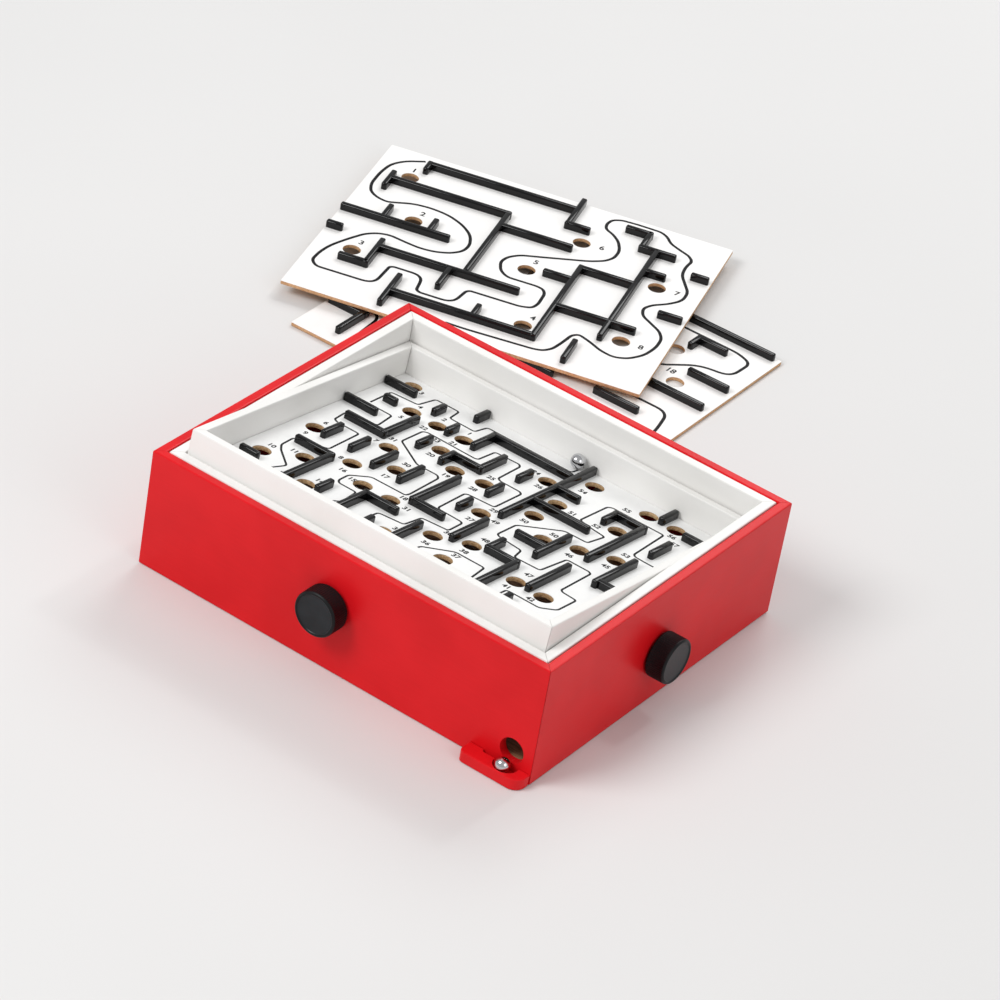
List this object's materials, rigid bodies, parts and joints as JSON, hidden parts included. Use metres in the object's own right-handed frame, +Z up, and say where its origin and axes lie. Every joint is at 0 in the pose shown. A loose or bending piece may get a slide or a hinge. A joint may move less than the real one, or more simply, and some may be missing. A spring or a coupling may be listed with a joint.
{
  "type": "tilt maze game",
  "caption": "Wooden tilt maze game: open red box, two nested tilting frames, walled maze board with holes, black knobs, steel balls, ball tray, loose spare maze boards behind.",
  "frame": {"origin": "centre of the box's underside, on the table", "axes": "+X along the long sides to the right, +Y from the long front side with knob and ball tray to the back, +Z up"},
  "size_m": [0.6185, 0.7307, 0.1188],
  "materials": {
    "red_paint": "satin red paint on wood",
    "white_paint": "satin off-white paint on wood",
    "fibreboard": "bare fibreboard",
    "maze_print": "white printed face with gloss black walls",
    "spare_board": "white printed board with bare tan edges",
    "knob_plastic": "moulded black, ribbed rim",
    "bright_steel": "bright drawn wire and rod",
    "ball_steel": "polished",
    "nylon": "natural",
    "string": "waxed twisted thread"
  },
  "bodies": {
    "box": {"back_pivot_pin": "bright_steel", "back_wall": "red_paint", "ball_catcher": "red_paint", "ball_ramp": "fibreboard", "base_panel": "fibreboard", "far_bush": "nylon", "front_bush": "nylon", "front_left_peg": "nylon", "front_pivot_pin": "bright_steel", "front_right_peg": "nylon", "front_string": "string", "front_string_spring": "bright_steel", "front_wall": "red_paint", "left_ramp_batten": "fibreboard", "left_wall": "red_paint", "middle_ramp_batten": "fibreboard", "right_ramp_batten": "fibreboard", "right_wall": "red_paint", "shaft_post": "fibreboard", "side_back_peg": "nylon", "side_bush": "nylon", "side_front_peg": "nylon", "side_string": "string", "side_string_spring": "bright_steel"},
    "outer_frame": {"outer_back_rail": "white_paint", "outer_front_rail": "white_paint", "outer_left_anchor": "bright_steel", "outer_left_rail": "white_paint", "outer_right_anchor": "bright_steel", "outer_right_rail": "white_paint", "left_pivot_pin": "bright_steel", "right_pivot_pin": "bright_steel"},
    "inner_frame": {"board_ledge_back_left": "fibreboard", "board_ledge_back_right": "fibreboard", "board_ledge_front_left": "fibreboard", "board_ledge_front_right": "fibreboard", "inner_back_anchor": "bright_steel", "inner_back_rail": "white_paint", "inner_front_anchor": "bright_steel", "inner_front_rail": "white_paint", "inner_left_rail": "white_paint", "inner_right_rail": "white_paint", "maze_face": "maze_print", "maze_panel": "fibreboard"},
    "front_drive": {"front_knob": "knob_plastic", "front_shaft": "bright_steel", "front_collar": "bright_steel"},
    "side_drive": {"side_knob": "knob_plastic", "side_shaft": "bright_steel", "side_collar": "bright_steel"},
    "ball_on_maze": {"maze_ball": "ball_steel"},
    "ball_in_tray": {"tray_ball": "ball_steel"},
    "board_below": {"spare_board_lower": "spare_board"},
    "board_above": {"spare_board_upper": "spare_board"}
  },
  "joints": [
    {"name": "outer_frame_tilt", "type": "hinge", "parent": "box", "child": "outer_frame", "pos_m": [0, 0, 0.088], "axis": [0, 1, 0], "range_deg": [-7, 7], "deforming": ["front_string_spring", "front_string"]},
    {"name": "inner_frame_tilt", "type": "hinge", "parent": "outer_frame", "child": "inner_frame", "pos_m": [0, 0, 0.088], "axis": [1, 0, 0], "range_deg": [-0.6, 13.5], "deforming": ["side_string_spring", "side_string"]},
    {"name": "front_knob_turn", "type": "hinge", "parent": "box", "child": "front_drive", "pos_m": [-0.009, -0.155, 0.054], "axis": [0, 1, 0], "range_deg": [-323, 323]},
    {"name": "side_knob_turn", "type": "hinge", "parent": "box", "child": "side_drive", "pos_m": [0.18, -0.006, 0.043], "axis": [1, 0, 0], "range_deg": [-25, 555]},
    {"name": "maze_ball_roll", "type": "slide", "parent": "inner_frame", "child": "ball_on_maze", "axis": [1, 0, 0], "range_m": [-0.078, 0]},
    {"name": "tray_ball_lift", "type": "slide", "parent": "box", "child": "ball_in_tray", "axis": [0, 0, 1], "range_m": [0, 0.05]},
    {"name": "lower_board_lift", "type": "slide", "parent": "box", "child": "board_below", "axis": [0, 0, 1], "range_m": [0, 0.06]},
    {"name": "upper_board_lift", "type": "slide", "parent": "board_below", "child": "board_above", "axis": [0, 0, 1], "range_m": [0, 0.06]}
  ],
  "couplings": [
    {"joint": "front_knob_turn", "follows": "outer_frame_tilt", "ratio": 46.08},
    {"joint": "side_knob_turn", "follows": "inner_frame_tilt", "ratio": 41.05}
  ]
}
